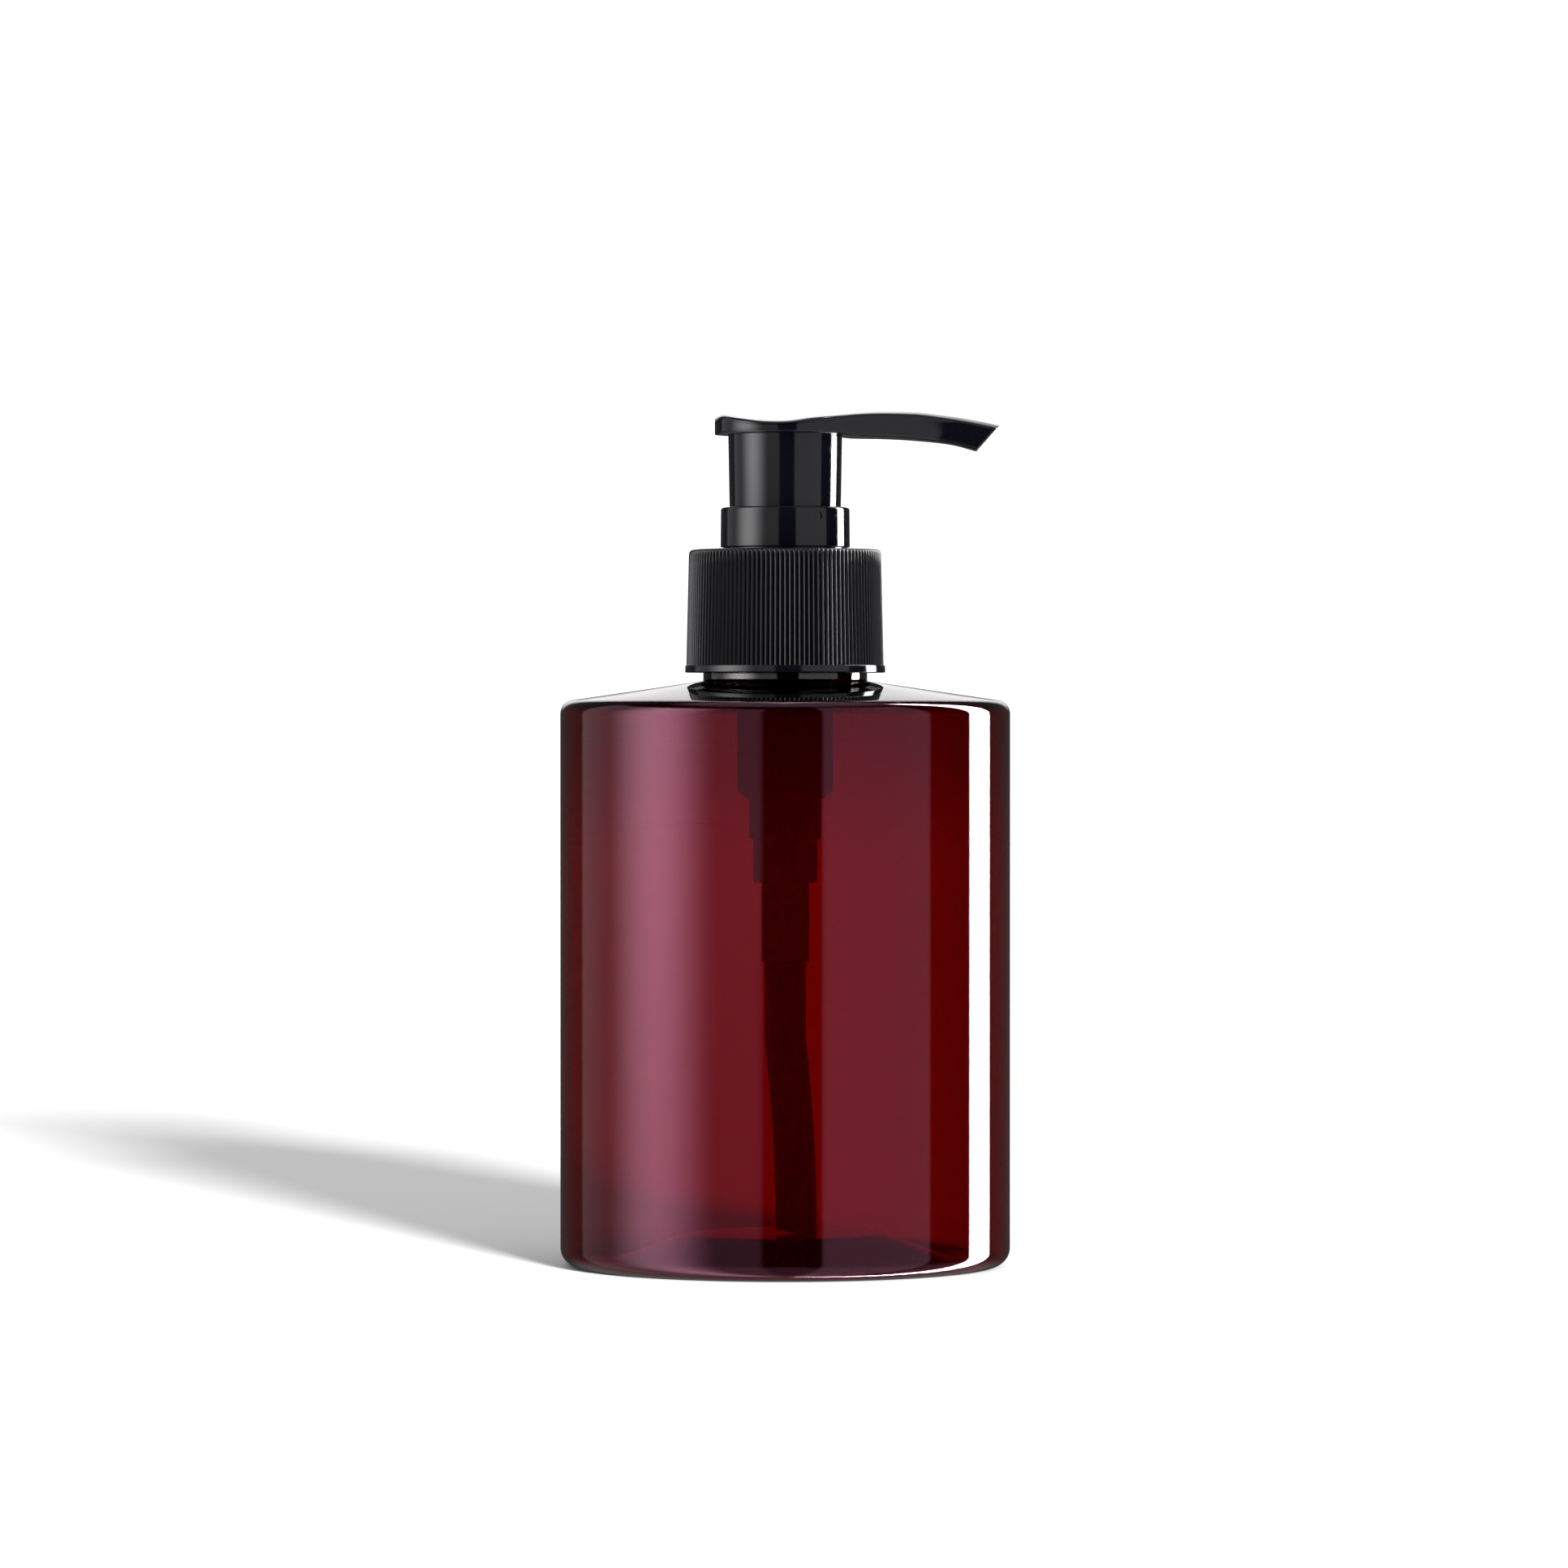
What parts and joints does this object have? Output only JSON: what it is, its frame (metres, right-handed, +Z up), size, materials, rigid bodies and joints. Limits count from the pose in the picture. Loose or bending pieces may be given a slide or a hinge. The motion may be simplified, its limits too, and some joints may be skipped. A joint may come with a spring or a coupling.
{
  "type": "soap pump dispenser",
  "caption": "Round see-through plastic bottle with a ribbed screw closure and a press-down lotion pump with a side nozzle.",
  "frame": {"origin": "centre of the bottle's foot, on the surface it stands on", "axes": "+Z up along the bottle's axis, +X towards the nozzle"},
  "size_m": [0.075, 0.075, 0.1424],
  "materials": {
    "tinted_bottle": "see-through burgundy, high gloss",
    "ribbed_black": "satin moulded black",
    "gloss_black": "polished moulded black",
    "natural_housing": "natural translucent plastic",
    "natural_tube": "natural translucent extruded tube",
    "natural_stem": "natural plastic, satin",
    "seal_white": "soft white plastic",
    "gasket_foam": "fine foam",
    "spring_steel": "drawn stainless wire",
    "ball_steel": "polished stainless ball"
  },
  "bodies": {
    "bottle_body": {"bottle": "tinted_bottle"},
    "pump_body": {"pump_housing": "natural_housing", "lock_collar": "gloss_black", "gasket": "gasket_foam", "dip_tube": "natural_tube", "spring": "spring_steel"},
    "closure_body": {"closure": "ribbed_black"},
    "plunger_body": {"main_stem": "natural_stem", "piston_rod": "natural_stem"},
    "seal_body": {"piston_seal": "seal_white"},
    "head_body": {"actuator_head": "gloss_black"},
    "ball_body": {"inlet_ball": "ball_steel"}
  },
  "joints": [
    {"name": "pump_lift", "type": "slide", "parent": "bottle_body", "child": "pump_body", "axis": [0, 0, 1], "range_m": [0, 0.00528]},
    {"name": "closure_turn", "type": "hinge", "parent": "pump_body", "child": "closure_body", "pos_m": [0, 0, 0.109], "axis": [0, 0, 1], "range_deg": [0, 450]},
    {"name": "head_press", "type": "slide", "parent": "pump_body", "child": "plunger_body", "axis": [0, 0, -1], "range_m": [0, 0.011], "stiffness_N_per_m": 600, "springref_m": -0.006, "deforming": ["spring"]},
    {"name": "head_turn", "type": "hinge", "parent": "plunger_body", "child": "head_body", "pos_m": [0, 0, 0.1385], "axis": [0, 0, 1], "range_deg": [0, 90]},
    {"name": "seal_shift", "type": "slide", "parent": "plunger_body", "child": "seal_body", "axis": [0, 0, 1], "range_m": [0, 0.0012]},
    {"name": "ball_lift", "type": "slide", "parent": "pump_body", "child": "ball_body", "axis": [0, 0, 1], "range_m": [0, 0.0015]}
  ],
  "couplings": [
    {"joint": "closure_turn", "follows": "pump_lift", "rad_per_m": 1485.4}
  ]
}
